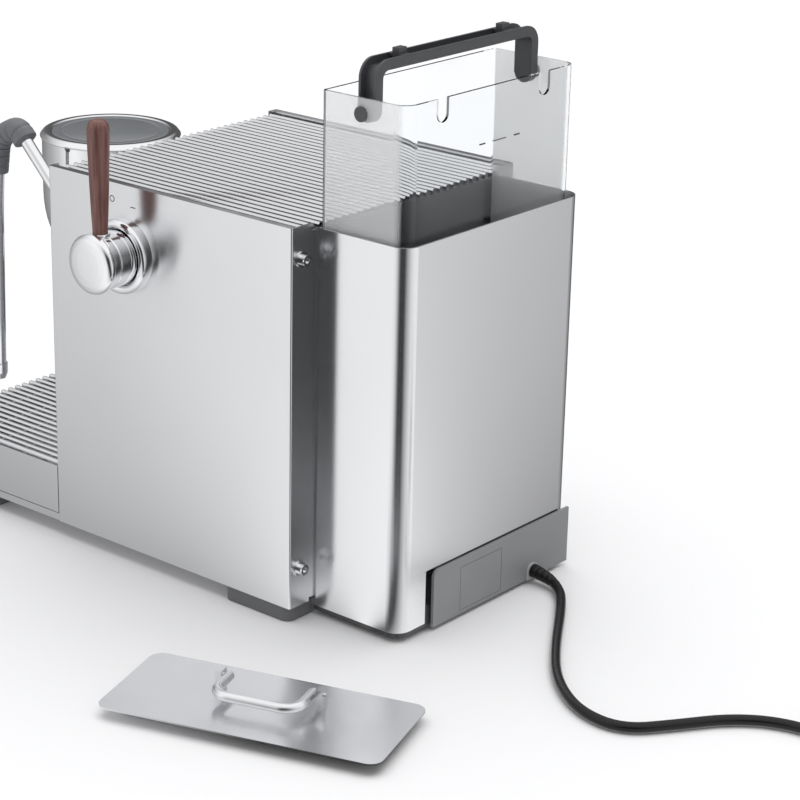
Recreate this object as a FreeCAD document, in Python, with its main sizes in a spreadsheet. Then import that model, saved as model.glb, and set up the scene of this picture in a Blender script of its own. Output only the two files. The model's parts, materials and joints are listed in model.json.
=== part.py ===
import FreeCAD, Part
import math
import os
import Sketcher
from FreeCAD import Placement, Rotation, Vector

# Espresso machine with a lift-out water tank at the rear.
# Working frame, in millimetres: X across, Y from front (-) to rear (+), Z up.
# X = 0 is the middle of the body, Y = 0 the rear edges of its side panels, Z = 0 the table.
# The last section moves every piece so that the origin lies under the middle of the whole object.

doc = FreeCAD.newDocument("espresso_machine")

DIMENSIONS = {
    # body
    "body_width": 262,
    "body_depth": 255,
    "panel_height": 300,
    "foot_height": 12,
    "sheet_wall": 1.5,
    "bend_radius": 1.4,
    "rear_flange": 22,
    "front_flange": 8.5,
    "top_flange": 4,
    "base_wall": 2,
    "gap": 0.3,
    # feet
    "foot_length": 68,
    "foot_width": 33,
    "foot_corner": 8,
    # cup rest on top of the body
    "pan_depth": 18,
    "pan_gap": 0.5,
    "pan_wall": 1.2,
    "wire_dia": 4,
    "wire_pitch": 8.1,
    "wire_margin": 2.5,
    "cross_wires": 5,
    "wire_drop": 10,
    # drip tray
    "tray_reach": 160,
    "shelf_wall": 6,
    "tray_height": 40.7,
    # tank housing behind the body
    "housing_width": 210,
    "housing_depth": 86,
    "housing_height": 300,
    "housing_lift": 8,
    "housing_corner": 13,
    "housing_floor": 12,
    "hatch_inset": 38,
    "hatch_height": 46.5,
    "hatch_wall": 2.4,
    "hatch_shadow": 7,
    "gland_radius": 7,
    "gland_offset": 57,
    # water tank and its bail
    "tank_side_gap": 3,
    "tank_rear_gap": 5,
    "tank_height": 272,
    "tank_wall": 2.2,
    "tank_floor": 3,
    "tank_corner": 12,
    "tank_seat": 30,
    "tank_raise": 107,
    "tank_gap": 1,
    "pin_drop": 11.5,
    "pin_setback": 37,
    "pin_radius": 4,
    "bail_side_gap": 3.3,
    "bail_rise": 37.5,
    "bail_thick": 8,
    "bail_broad": 16,
    "bail_corner": 14,
    "notch_width": 12,
    "notch_depth": 17.5,
    "notch_offset": 60,
    "tab_rise": 4.5,
    "valve_radius": 9,
    # tank lid, lying on the table
    "lid_side_lip": 2.5,
    "lid_end_lip": 4.5,
    "lid_wall": 1.2,
    "lid_corner": 10,
    "lid_skirt": 8,
    "lid_turn": 108,
    "lid_across": 256.5,
    "lid_along": 88,
    "loop_width": 78,
    "loop_depth": 30,
    "loop_dia": 7.5,
    "loop_lift": 10,
    # steam control
    "knob_back": 171,
    "knob_drop": 55,
    "knob_radius": 21.8,
    "knob_length": 32,
    "cap_radius": 23.5,
    "cap_length": 7.8,
    "flange_radius": 29.5,
    "flange_length": 10,
    "spindle_radius": 4,
    "stick_length": 100,
    "stick_radius": 8.8,
    "stick_root": 5.8,
    # brewing group
    "group_standoff": 10,
    "group_drop": 6,
    "group_flare": 15,
    "group_straight": 46,
    "group_bowl": 42,
    "mouth_gap": 2,
    "collar_wall": 3.3,
    "collar_height": 25,
    "filter_radius": 29.3,
    "handle_length": 165,
    "handle_radius": 14,
    # steam wand
    "wand_inset": 24.5,
    "wand_height": 57,
    "wand_dia": 10,
    "grip_dia": 20,
    # mains lead
    "cord_dia": 8,
    "coil_radius": 44,
    "coil_height": 15,
    "plug_radius": 14,
    "plug_length": 38,
}

sheet = doc.addObject("Spreadsheet::Sheet", "dims")
for row, (word, number) in enumerate(DIMENSIONS.items(), start=1):
    sheet.set("A%d" % row, word)
    sheet.set("B%d" % row, str(number))
    sheet.setAlias("B%d" % row, word)
doc.recompute()


class Size:
    """A number that remembers the sheet formula it was worked out with."""

    def __init__(self, number, formula=None):
        self.number = float(number)
        self.formula = formula if formula else repr(float(number))

    def __float__(self):
        return self.number

    def __neg__(self):
        return Size(-self.number, "-(%s)" % self.formula)

    def __add__(self, other):
        other = size(other)
        return Size(self.number + other.number, "(%s + %s)" % (self.formula, other.formula))

    def __sub__(self, other):
        other = size(other)
        return Size(self.number - other.number, "(%s - %s)" % (self.formula, other.formula))

    def __rsub__(self, other):
        return size(other) - self

    def __mul__(self, other):
        other = size(other)
        return Size(self.number * other.number, "%s * %s" % (self.formula, other.formula))

    def __truediv__(self, other):
        other = size(other)
        return Size(self.number / other.number, "%s / (%s)" % (self.formula, other.formula))

    __radd__ = __add__
    __rmul__ = __mul__


def size(value):
    return value if isinstance(value, Size) else Size(value)


class Dims:
    """Every driving dimension of the sheet, by name."""

    def __init__(self):
        for word in DIMENSIONS:
            setattr(self, word, Size(sheet.get(word), "dims." + word))


d = Dims()
nodes = []

ALONG_X = Rotation(Vector(0, 1, 0), 90)
ALONG_Y = Rotation(Vector(1, 0, 0), -90)
UPRIGHT = Rotation()


def bind(obj, prop, value):
    """Set a property to a plain number, or tie it to the sheet."""
    if isinstance(value, Size):
        obj.setExpression(prop, value.formula)
    else:
        setattr(obj, prop, value)


def seat(obj, at, turn=UPRIGHT):
    """Place a feature inside its piece, tied to the sheet."""
    obj.Placement = Placement(Vector(*[float(v) for v in at]), turn)
    for letter, value in zip("xyz", at):
        if isinstance(value, Size):
            obj.setExpression("Placement.Base." + letter, value.formula)


def new_body(label):
    body = doc.addObject("PartDesign::Body", label)
    body.Label = label
    nodes.append(body)
    return body


def add(body, kind, sizes, at, turn=UPRIGHT):
    """Add a PartDesign primitive such as AdditiveBox or SubtractiveCylinder."""
    feature = body.newObject("PartDesign::" + kind, body.Label + "_" + kind)
    for prop, value in sizes.items():
        bind(feature, prop, value)
    seat(feature, at, turn)
    return feature


def span(low, high):
    """Length from low to high, as a size."""
    return size(high) - size(low)


def box(body, xs, ys, zs, cut=False):
    kind = "SubtractiveBox" if cut else "AdditiveBox"
    sizes = {"Length": span(*xs), "Width": span(*ys), "Height": span(*zs)}
    return add(body, kind, sizes, (xs[0], ys[0], zs[0]))


def rod(body, radius, length, at, turn=UPRIGHT, cut=False):
    kind = "SubtractiveCylinder" if cut else "AdditiveCylinder"
    return add(body, kind, {"Radius": radius, "Height": length}, at, turn)


def origin_part(body, role):
    return [part for part in body.Origin.OriginFeatures if part.Role == role][0]


def profile(body, plane, points):
    """Closed outline of straight edges, each corner dimensioned from the sketch origin."""
    sketch = body.newObject("Sketcher::SketchObject", body.Label + "_outline")
    sketch.AttachmentSupport = [(origin_part(body, plane), "")]
    sketch.MapMode = "FlatFace"
    count = len(points)
    corners = [Vector(float(a), float(b), 0) for a, b in points]
    for k in range(count):
        sketch.addGeometry(Part.LineSegment(corners[k], corners[(k + 1) % count]), False)
    for k in range(count):
        sketch.addConstraint(Sketcher.Constraint("Coincident", k, 2, (k + 1) % count, 1))
    for k, (across, up) in enumerate(points):
        for kind, value, axis in (("DistanceX", across, -2), ("DistanceY", up, -1)):
            if float(value) == 0.0:
                sketch.addConstraint(Sketcher.Constraint("PointOnObject", k, 1, axis))
                continue
            index = sketch.addConstraint(Sketcher.Constraint(kind, -1, 1, k, 1, float(value)))
            if isinstance(value, Size):
                sketch.setExpression("Constraints[%d]" % index, value.formula)
    return sketch


def turn_outline(body, points, cut=False):
    """Revolve a (radius, height) outline about the body's own Z axis."""
    sketch = profile(body, "XZ_Plane", points)
    kind = "PartDesign::Groove" if cut else "PartDesign::Revolution"
    feature = body.newObject(kind, body.Label + "_turned")
    feature.Profile = sketch
    feature.ReferenceAxis = (sketch, ["V_Axis"])
    feature.Angle = 360
    return feature


def turned(label, points, at=(0, 0, 0), turn=UPRIGHT):
    """A round piece: its outline revolved, then stood where it belongs."""
    body = new_body(label)
    turn_outline(body, points)
    body.Placement = Placement(Vector(*[float(v) for v in at]), turn)
    return body


def round_edges(body, radius, wanted):
    """Fillet the edges of the piece so far whose two ends satisfy the test."""
    doc.recompute()
    base = body.Tip
    names = []
    for index, edge in enumerate(base.Shape.Edges, start=1):
        ends = [vertex.Point for vertex in edge.Vertexes]
        if len(ends) == 2 and wanted(ends[0], ends[1]):
            names.append("Edge%d" % index)
    if not names:
        raise RuntimeError("no edge to round on " + body.Label)
    fillet = body.newObject("PartDesign::Fillet", body.Label + "_round")
    fillet.Base = (base, names)
    bind(fillet, "Radius", radius)
    return fillet


def upright_edge(x_side, y_side, x_limit=None, y_limit=None):
    """Test for a vertical edge on the given sides of x_limit and y_limit."""
    def wanted(a, b):
        if abs(a.x - b.x) > 1e-4 or abs(a.y - b.y) > 1e-4:
            return False
        if x_side and (a.x - float(x_limit)) * x_side < 0:
            return False
        if y_side and (a.y - float(y_limit)) * y_side < 0:
            return False
        return True
    return wanted


def shaped(label, shape, at=(0, 0, 0), turn=UPRIGHT):
    """A piece whose shape is worked out here, for what no feature makes."""
    piece = doc.addObject("Part::Feature", label)
    piece.Label = label
    piece.Shape = shape
    piece.Placement = Placement(Vector(*[float(v) for v in at]), turn)
    nodes.append(piece)
    return piece


def bent_path(points, bend=None):
    """Straight runs joined by tangent arcs. Without a bend radius each arc is as large as fits."""
    corners = [Vector(*[float(v) for v in point]) for point in points]
    edges = []
    radii = []
    start = corners[0]
    for before, corner, after in zip(corners, corners[1:], corners[2:]):
        run_in = corner - before
        run_out = after - corner
        turn = run_in.getAngle(run_out)
        radius = 0.45 * min(run_in.Length, run_out.Length) / math.tan(turn / 2)
        if bend:
            radius = min(radius, float(bend))
        radii.append(radius)
        setback = radius * math.tan(turn / 2)
        way_in = Vector(run_in).normalize()
        way_out = Vector(run_out).normalize()
        first = corner - way_in * setback
        last = corner + way_out * setback
        inward = (way_out - way_in).normalize()
        middle = corner + inward * (radius / math.cos(turn / 2) - radius)
        edges.append(Part.LineSegment(start, first).toShape())
        edges.append(Part.Arc(first, middle, last).toShape())
        start = last
    edges.append(Part.LineSegment(start, corners[-1]).toShape())
    return Part.Wire(edges), radii


def swept(points, radius, bend=None):
    """A round bar along a bent path, checked against its section times its length."""
    path, radii = bent_path(points, bend)
    start = path.Edges[0].valueAt(path.Edges[0].FirstParameter)
    way = path.Edges[0].tangentAt(path.Edges[0].FirstParameter)
    ring = Part.Wire([Part.Circle(start, way, float(radius)).toShape()])
    solid = path.makePipeShell([ring], True, False)
    expected = math.pi * float(radius) ** 2 * path.Length
    if abs(solid.Volume / expected - 1) > 0.01:
        raise RuntimeError("a swept bar has the wrong volume")
    return solid, path, radii


# ---- shared places -------------------------------------------------------------------------

side = d.body_width / 2
inner = side - d.sheet_wall
front = -d.body_depth
floor_z = d.foot_height
top_z = floor_z + d.panel_height
front_panel_y = front + d.sheet_wall
cabin_front = front_panel_y + d.sheet_wall
cabin_rear = -2 * d.sheet_wall
rear_face = -d.sheet_wall
cabin_floor = floor_z + d.base_wall

housing_side = d.housing_width / 2
housing_top = d.housing_lift + d.housing_height
housing_base_low = d.housing_lift / 2
housing_base_top = d.housing_lift + d.housing_floor

tank_side = housing_side - d.sheet_wall - d.tank_side_gap
tank_front = d.tank_gap
tank_rear = d.housing_depth - d.sheet_wall - d.tank_rear_gap
tank_depth = tank_rear - tank_front
tank_low = d.tank_seat + d.tank_raise
tank_rim = tank_low + d.tank_height
pin_y = tank_front + d.pin_setback
pin_z = tank_rim - d.pin_drop

shelf_front = front - d.tray_reach + 2
shelf_top = floor_z + d.shelf_wall
tray_front = front - d.tray_reach
tray_rear = front - d.sheet_wall
tray_low = shelf_top + d.gap
tray_rim = tray_low + d.tray_height

wire_r = d.wire_dia / 2
cup_wire_z = top_z - 2 - wire_r
pan_half = inner - d.top_flange - d.pan_gap
pan_rim = cup_wire_z - wire_r - d.wire_dia
pan_low = pan_rim - d.pan_depth / 2
panel_top = cup_wire_z - wire_r - d.gap

# The collar fits round the holder's lugs, and the bell round the collar.
lug_reach = d.filter_radius + 6.1
collar_bore = lug_reach + 1.3
collar_radius = collar_bore + d.collar_wall
group_mouth = collar_radius + d.mouth_gap
group_radius = group_mouth + d.group_flare
group_reach = group_radius + d.group_standoff
group_top = top_z - d.group_drop
group_y = front - group_reach
knob_y = -d.knob_back
knob_z = top_z - d.knob_drop
wand_x = inner - d.wand_inset

# ---- feet and floor ------------------------------------------------------------------------


def feet():
    """Four long low feet with rounded corners, two under the body and two under the tray shelf."""
    body = new_body("feet")
    outer = side - 1
    for rear_y in (Size(-2), shelf_front + d.foot_length + 8):
        for low in (outer - d.foot_width, -outer):
            box(body, (low, low + d.foot_width), (rear_y - d.foot_length, rear_y), (0, d.foot_height))
    round_edges(body, d.foot_corner, upright_edge(0, 0))


feet()


def chassis():
    """Floor of the body with turned-up edges, and the low shelf in front that carries the drip tray."""
    body = new_body("chassis")
    box(body, (-side + 1, side - 1), (shelf_front, front - 0.2), (floor_z, shelf_top))
    round_edges(body, Size(6), upright_edge(0, -1, None, shelf_front + 1))
    neck_half = side - d.front_flange - 8
    box(body, (-neck_half, neck_half), (front - 2, cabin_front + 2), (floor_z, cabin_floor))
    box(body, (-inner, inner), (cabin_front, cabin_rear), (floor_z, cabin_floor))
    for low in (cabin_front, cabin_rear - d.base_wall):
        box(body, (-inner + 20, inner - 20), (low, low + d.base_wall), (floor_z, cabin_floor + 5))
    box(body, (-60, 60), (front / 2 + 20, front / 2 + 80), (floor_z - 1, cabin_floor + 1), cut=True)


chassis()

# ---- body panels ---------------------------------------------------------------------------


def side_panel(label, hand):
    """Folded sheet: the side wall with flanges along its rear, front and top edges."""
    body = new_body(label)

    def across(low, high):
        return (low, high) if hand > 0 else (-high, -low)

    box(body, across(inner, side), (front, 0), (floor_z, top_z))
    box(body, across(side - d.rear_flange, inner), (rear_face, 0), (floor_z, top_z))
    box(body, across(side - d.front_flange - d.sheet_wall, inner), (front, front_panel_y), (floor_z, top_z))
    box(body, across(inner - d.top_flange, inner), (front_panel_y, rear_face),
        (top_z - d.sheet_wall, top_z))
    round_edges(body, d.bend_radius, upright_edge(hand, 0, (side - 0.01) * hand))
    return body


right = side_panel("side_panel_right", 1)
rod(right, 10, d.sheet_wall + 2, (inner - 1, knob_y, knob_z), ALONG_X, cut=True)
side_panel("side_panel_left", -1)

swivel_z = knob_z - 7
button_x = -side + 44
button_zs = (knob_z + 10, knob_z - 20)
button_r = Size(7)
arm_r = Size(7)


def front_panel():
    """Flat sheet behind the front flanges, pierced for group, wand and buttons."""
    body = new_body("front_panel")
    box(body, (-inner, inner), (front_panel_y, cabin_front), (cabin_floor, panel_top))
    through = d.sheet_wall + 2
    rod(body, 5 + d.gap, through, (0, front_panel_y - 1, group_pipe_z), ALONG_Y, cut=True)
    rod(body, arm_r + d.gap, through, (wand_x, front_panel_y - 1, swivel_z), ALONG_Y, cut=True)
    for button_z in button_zs:
        rod(body, button_r + d.gap, through, (button_x, front_panel_y - 1, button_z), ALONG_Y, cut=True)


group_pipe_z = group_top - 46
front_panel()

dock_x = Size(60)
dock_y = tank_front + tank_depth / 2
hose_r = Size(3.5)
hose_z = housing_base_top + hose_r + 0.4


def rear_panel():
    """Sheet that closes the body behind, with a hole for the suction hose."""
    body = new_body("rear_panel")
    box(body, (-inner, inner), (cabin_rear, rear_face), (cabin_floor, panel_top))
    rod(body, hose_r + d.gap, d.sheet_wall + 2, (dock_x, cabin_rear - 1, hose_z), ALONG_Y, cut=True)


rear_panel()


def rear_fasteners():
    """Four cap screws, each on its washer, that hold the rear flanges."""
    body = new_body("rear_fasteners")
    screw_x = side - d.rear_flange / 2
    for x in (-screw_x, screw_x):
        for z in (floor_z + 31, top_z - 25):
            rod(body, 6, 1.2, (x, 0, z), ALONG_Y)
            rod(body, 4.2, 5.8, (x, 0, z), ALONG_Y)
            rod(body, 2.2, 2, (x, 3.9, z), ALONG_Y, cut=True)


rear_fasteners()

# ---- cup rest ------------------------------------------------------------------------------


def top_pan():
    """Shallow pan under the cup wires, hung by its outward rim."""
    body = new_body("top_pan")
    half = pan_half
    front_y = cabin_front + d.gap
    rear_y = cabin_rear - d.gap
    rim_low = pan_rim - d.pan_wall
    box(body, (-half, half), (front_y, rear_y), (pan_low, pan_rim))
    box(body, (-inner, inner), (front_y, rear_y), (rim_low, pan_rim))
    wall = d.pan_wall
    box(body, (-half + wall, half - wall), (front_y + wall, rear_y - wall),
        (pan_low + wall, pan_rim + 1), cut=True)


top_pan()


def wires_across(width):
    """How many long wires fit in a width at their pitch."""
    count = math.floor(float(width / d.wire_pitch)) + 1
    return Size(count, "floor((%s) / dims.wire_pitch) + 1" % width.formula)


def wire_rack(body, count, length, rear_y, wire_z, cross_half, cross_low, cross_high):
    """Long wires side by side over a few cross wires."""
    first_x = -(count - 1) * d.wire_pitch / 2
    long_wire = rod(body, wire_r, length, (first_x, rear_y - length, wire_z), ALONG_Y)
    pattern_of(body, [long_wire], "X_Axis", (count - 1) * d.wire_pitch, count)
    cross = rod(body, wire_r, 2 * cross_half, (-cross_half, cross_low, wire_z - d.wire_dia + 0.2), ALONG_X)
    pattern_of(body, [cross], "Y_Axis", cross_high - cross_low, d.cross_wires)
    return first_x


def pattern_of(body, originals, axis, length, count):
    """Repeat features in a row along one of the body's axes."""
    doc.recompute()
    pattern = body.newObject("PartDesign::LinearPattern", body.Label + "_row")
    pattern.Originals = originals
    pattern.Direction = (origin_part(body, axis), [""])
    bind(pattern, "Length", length)
    bind(pattern, "Occurrences", count)
    body.Tip = pattern
    return pattern


def cup_grille():
    body = new_body("cup_grille")
    rear_y = rear_face - d.gap - 0.4
    length = rear_y - front_panel_y - d.gap - 0.4
    count = wires_across(2 * (pan_half - d.wire_margin))
    wire_rack(body, count, length, rear_y, cup_wire_z, pan_half - 0.2, cabin_front + 20, cabin_rear - 20)


cup_grille()

# ---- drip tray and its grille --------------------------------------------------------------


tray_half = side - 1.5


def drip_tray():
    """Open steel tray with rounded front corners."""
    body = new_body("drip_tray")
    half = tray_half
    wall = d.sheet_wall
    box(body, (-half, half), (tray_front, tray_rear), (tray_low, tray_rim))
    round_edges(body, Size(5), upright_edge(0, -1, None, tray_front + 1))
    box(body, (-half + wall, half - wall), (tray_front + wall, tray_rear - wall),
        (tray_low + wall, tray_rim + 1), cut=True)


drip_tray()


def drip_grille():
    """Wires that lie on the tray's rim and turn down over its front edge."""
    body = new_body("drip_grille")
    wire_z = tray_rim + wire_r
    bend_y = tray_front - wire_r - d.gap
    length = tray_rear - 1 - bend_y
    count = wires_across(2 * (tray_half - d.wire_margin))
    first_x = wire_rack(body, count, length, tray_rear - 1, wire_z, tray_half - d.sheet_wall - 1,
                        tray_front + 20, tray_rear - 20)
    drop = rod(body, wire_r, d.wire_drop, (first_x, bend_y, wire_z - d.wire_drop))
    knee = add(body, "AdditiveSphere", {"Radius": wire_r}, (first_x, bend_y, wire_z))
    pattern_of(body, [drop, knee], "X_Axis", (count - 1) * d.wire_pitch, count)


drip_grille()

# ---- tank housing --------------------------------------------------------------------------

hatch_right = housing_side - d.hatch_inset
hatch_low = housing_base_low - 1
hatch_top = hatch_low + d.hatch_height


def corner_at(x, y):
    """Test for the vertical edges that stand at (x, y) and at (-x, y)."""
    def wanted(a, b):
        upright = abs(a.x - b.x) < 1e-4 and abs(a.y - b.y) < 1e-4
        return upright and abs(abs(a.x) - float(x)) < 1e-3 and abs(a.y - float(y)) < 1e-3
    return wanted


def tank_housing():
    """Steel sheet wrapped round three sides, open above and towards the body."""
    body = new_body("tank_housing")
    wall = d.sheet_wall
    inside = housing_side - wall
    back = d.housing_depth - wall
    box(body, (-housing_side, housing_side), (rear_face, d.housing_depth), (d.housing_lift, housing_top))
    box(body, (-inside, inside), (rear_face - 1, back), (d.housing_lift - 1, housing_top + 1), cut=True)
    round_edges(body, d.housing_corner - wall, corner_at(inside, back))
    round_edges(body, d.housing_corner, corner_at(housing_side, d.housing_depth))
    box(body, (-housing_side + d.housing_corner, hatch_right + d.hatch_shadow),
        (back - 1, d.housing_depth + 1), (d.housing_lift - 1, hatch_top + 1.5), cut=True)


tank_housing()


def housing_base():
    """Moulded floor of the housing, a little below the steel."""
    body = new_body("housing_base")
    half = housing_side - d.sheet_wall - 0.2
    rear_y = d.housing_depth - d.sheet_wall - 0.2
    box(body, (-half, half), (0.2, rear_y), (housing_base_low, housing_base_top))
    round_edges(body, d.housing_corner - d.sheet_wall, upright_edge(0, 1, None, rear_y - 0.1))
    box(body, (-half + 3, half - 3), (3, rear_y - 3), (housing_base_low - 1, housing_base_top - 3), cut=True)


housing_base()


spout_y = dock_y - d.valve_radius - 17


def tank_dock():
    """Cup that takes the tank's valve, with the spout that feeds the suction hose."""
    body = new_body("tank_dock")
    cup_tall = d.tank_seat - 2 - housing_base_top
    rod(body, d.valve_radius + 5, cup_tall, (dock_x, dock_y, housing_base_top))
    rod(body, 2.6, dock_y - spout_y, (dock_x, spout_y, hose_z), ALONG_Y)
    rod(body, d.valve_radius + 0.6, cup_tall, (dock_x, dock_y, housing_base_top + 1), cut=True)
    rod(body, 1.6, dock_y - spout_y + 2, (dock_x, spout_y - 2, hose_z), ALONG_Y, cut=True)


tank_dock()


def access_hatch():
    """Flat cover low on the rear of the housing, arched over the mains lead."""
    body = new_body("access_plate")
    rear_y = d.housing_depth + 0.1
    box(body, (-housing_side + 1, hatch_right), (rear_y, rear_y + d.hatch_wall), (hatch_low, hatch_top))

    def near_top_corner(a, b):
        high = min(a.z, b.z) > float(hatch_top) - 1e-3 and abs(a.z - b.z) < 1e-3
        return high and abs(a.x - b.x) < 1e-3 and a.x > 0

    round_edges(body, Size(6), near_top_corner)
    slot_r = d.gland_radius
    box(body, (-d.gland_offset - slot_r, -d.gland_offset + slot_r), (rear_y - 1, rear_y + d.hatch_wall + 1),
        (hatch_low - 1, gland_z), cut=True)
    rod(body, slot_r, d.hatch_wall + 2, (-d.gland_offset, rear_y - 1, gland_z), ALONG_Y, cut=True)


gland_z = hatch_low + d.gland_radius - 0.5
gland_front = d.housing_depth - d.sheet_wall
gland_rear = d.housing_depth + d.hatch_wall + 1.5
access_hatch()


def cord_gland():
    """Arched collar in the cover that grips the lead, bored for its cores."""
    body = new_body("cord_gland")
    length = gland_rear - gland_front
    rod(body, d.gland_radius - 0.1, length, (-d.gland_offset, gland_front, gland_z), ALONG_Y)
    half = d.gland_radius - 0.1
    box(body, (-d.gland_offset - half, -d.gland_offset + half), (gland_front, gland_rear), (hatch_low, gland_z))
    rod(body, d.cord_dia / 2 - 1, length + 2, (-d.gland_offset, gland_front - 1, gland_z + 0.5), ALONG_Y,
        cut=True)


cord_gland()

# ---- water tank ----------------------------------------------------------------------------


def water_tank():
    """Clear open tank with two notches in its rear rim and a pin hole in each side wall."""
    body = new_body("water_tank")
    wall = d.tank_wall
    inside = tank_side - wall
    back = tank_rear - wall
    box(body, (-tank_side, tank_side), (tank_front, tank_rear), (tank_low, tank_rim))
    box(body, (-inside, inside), (tank_front + wall, back), (tank_low + d.tank_floor, tank_rim + 1), cut=True)
    round_edges(body, d.tank_corner - wall, corner_at(inside, back))
    round_edges(body, d.tank_corner, corner_at(tank_side, tank_rear))
    round_edges(body, Size(2.6), corner_at(tank_side, tank_front))
    for x in (-d.notch_offset, d.notch_offset):
        half = d.notch_width / 2
        box(body, (x - half, x + half), (tank_rear - wall - 1, tank_rear + 1),
            (tank_rim - d.notch_depth + half, tank_rim + 1), cut=True)
        rod(body, half, wall + 2, (x, tank_rear - wall - 1, tank_rim - d.notch_depth + half), ALONG_Y, cut=True)
    rod(body, d.pin_radius + 0.05, 2 * tank_side + 4, (-tank_side - 2, pin_y, pin_z), ALONG_X, cut=True)
    rod(body, 4, d.tank_floor + 2, (dock_x, dock_y, tank_low - 1), cut=True)


water_tank()


def tank_valve():
    """Spring valve in the tank's floor, with a seat flange inside."""
    body = new_body("tank_valve")
    rod(body, d.valve_radius, 8, (dock_x, dock_y, tank_low - 8))
    rod(body, 3.9, d.tank_floor + 8, (dock_x, dock_y, tank_low - 8))
    rod(body, 7, 3, (dock_x, dock_y, tank_low + d.tank_floor))


tank_valve()


def tank_bail():
    """U-shaped carrying handle: a channel open outwards, with pins, bosses and two tabs."""
    half = float(tank_side - d.tank_wall - d.bail_side_gap)
    rise = float(d.bail_rise)
    thick = float(d.bail_thick)
    broad = float(d.bail_broad)
    corner = float(d.bail_corner)
    lip = 2.0

    def arch(inset, width, low):
        """Solid arch from low up to the top, set in from the outline by inset."""
        solid = Part.makeBox(2 * (half - inset), width, rise - inset - low, Vector(inset - half, -width / 2, low))
        top_edges = [edge for edge in solid.Edges
                     if all(v.Point.z > rise - inset - 1e-3 for v in edge.Vertexes)
                     and abs(edge.Vertexes[0].Point.x - edge.Vertexes[1].Point.x) < 1e-3]
        return solid.makeFillet(corner - inset, top_edges)

    hoop = arch(0, broad, -1).cut(arch(thick, broad + 2, -2))
    channel = arch(-1, broad - 2 * lip, 2).cut(arch(thick - 2.5, broad, 1))
    hoop = hoop.cut(channel)
    pin_reach = float(tank_side) + 1.2
    for hand in (-1, 1):
        axis = Vector(hand, 0, 0)
        boss = Part.makeCylinder(broad / 2 - 0.5, thick - 1, Vector(hand * (half - thick), 0, 0), axis)
        pin = Part.makeCylinder(float(d.pin_radius), pin_reach - half + 2, Vector(hand * (half - 2), 0, 0), axis)
        head = Part.makeCylinder(5.6, 1.4, Vector(hand * (pin_reach - 0.9), 0, 0), axis)
        tab_x = hand * float(d.notch_offset)
        tab = Part.makeBox(9, 6, float(d.tab_rise) + 3, Vector(tab_x - 4.5, -3, rise - 3))
        rest = Part.makeBox(9, broad, 2, Vector(tab_x - 4.5, -broad / 2, rise - 2))
        hoop = hoop.fuse([boss, pin, head, tab, rest])
    return shaped("tank_bail", hoop.removeSplitter(), (0, pin_y, pin_z))


tank_bail()

# ---- tank lid ------------------------------------------------------------------------------

lid_turn = Rotation(Vector(0, 0, 1), float(d.lid_turn) - 90)
lid_at = (d.lid_across, d.lid_along, 0)
lid_top = d.lid_skirt + d.lid_wall
lid_half_length = housing_side + d.lid_side_lip
lid_half_width = d.housing_depth / 2 + d.lid_end_lip
loop_pivot = -d.loop_depth / 2
loop_pin_r = Size(2)
post_half = Size(2.5)


def lid_plate():
    """Flat steel lid with rounded corners."""
    body = new_body("lid_plate")
    box(body, (-lid_half_width, lid_half_width), (-lid_half_length, lid_half_length), (d.lid_skirt, lid_top))
    round_edges(body, d.lid_corner, upright_edge(0, 0))
    body.Placement = Placement(Vector(*[float(v) for v in lid_at]), lid_turn)


def lid_skirt():
    """Frame under the lid that drops inside the tank."""
    body = new_body("lid_skirt")
    long_half = tank_side - d.tank_wall - 3
    short_half = tank_depth / 2 - d.tank_wall - 3
    box(body, (-short_half, short_half), (-long_half, long_half), (0, d.lid_skirt))
    round_edges(body, Size(8), upright_edge(0, 0))
    box(body, (-short_half + 2, short_half - 2), (-long_half + 2, long_half - 2),
        (-1, d.lid_skirt + 1), cut=True)
    body.Placement = Placement(Vector(*[float(v) for v in lid_at]), lid_turn)


def lid_posts():
    """Two small posts that carry the pivots of the lid's loop."""
    body = new_body("lid_posts")
    for y in (-d.loop_width / 2, d.loop_width / 2):
        low = y - post_half
        box(body, (loop_pivot - 4.5, loop_pivot + 4.5), (low, low + 2 * post_half),
            (lid_top, lid_top + d.loop_lift + 4.5))
    rod(body, loop_pin_r + 0.05, d.loop_width + 20,
        (loop_pivot, -d.loop_width / 2 - 10, lid_top + d.loop_lift), ALONG_Y, cut=True)
    body.Placement = Placement(Vector(*[float(v) for v in lid_at]), lid_turn)


def lid_loop():
    """Round bar bent to a U that folds down flat, with a pivot pin through each post."""
    radius = float(d.loop_dia) / 2
    half = float(d.loop_width) / 2
    depth = float(d.loop_depth)
    lift = float(lid_top + d.loop_lift)
    near = half - float(post_half) - 0.4 - radius
    back = float(loop_pivot)
    route = [(back, -near, lift), (back + depth, -near, lift), (back + depth, near, lift), (back, near, lift)]
    bar = swept(route, radius, 13)[0]
    for hand in (-1, 1):
        end = Vector(back, hand * near, lift)
        pin = Part.makeCylinder(float(loop_pin_r), radius + 6.5, end, Vector(0, hand, 0))
        bar = bar.fuse([pin, Part.makeSphere(radius, end)])
    shaped("lid_loop", bar.removeSplitter(), lid_at, lid_turn)


lid_plate()
lid_skirt()
lid_posts()
lid_loop()

# ---- steam control on the right side -------------------------------------------------------


def on_knob_axis(x):
    return (x, knob_y, knob_z)


knob_back_x = side + 3
knob_front_x = knob_back_x + d.knob_length - 3
stick_x = knob_front_x - d.stick_root - 0.4
spindle_end = knob_front_x - 14

turned("knob_flange", [
    (d.knob_radius + 0.8, 0), (d.flange_radius, 0), (d.flange_radius, d.flange_length - 3),
    (d.flange_radius - 0.9, d.flange_length - 0.9), (d.flange_radius - 3, d.flange_length),
    (d.knob_radius + 2, d.flange_length), (d.knob_radius + 0.8, d.flange_length - 1.2)],
    on_knob_axis(side), ALONG_X)


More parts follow.
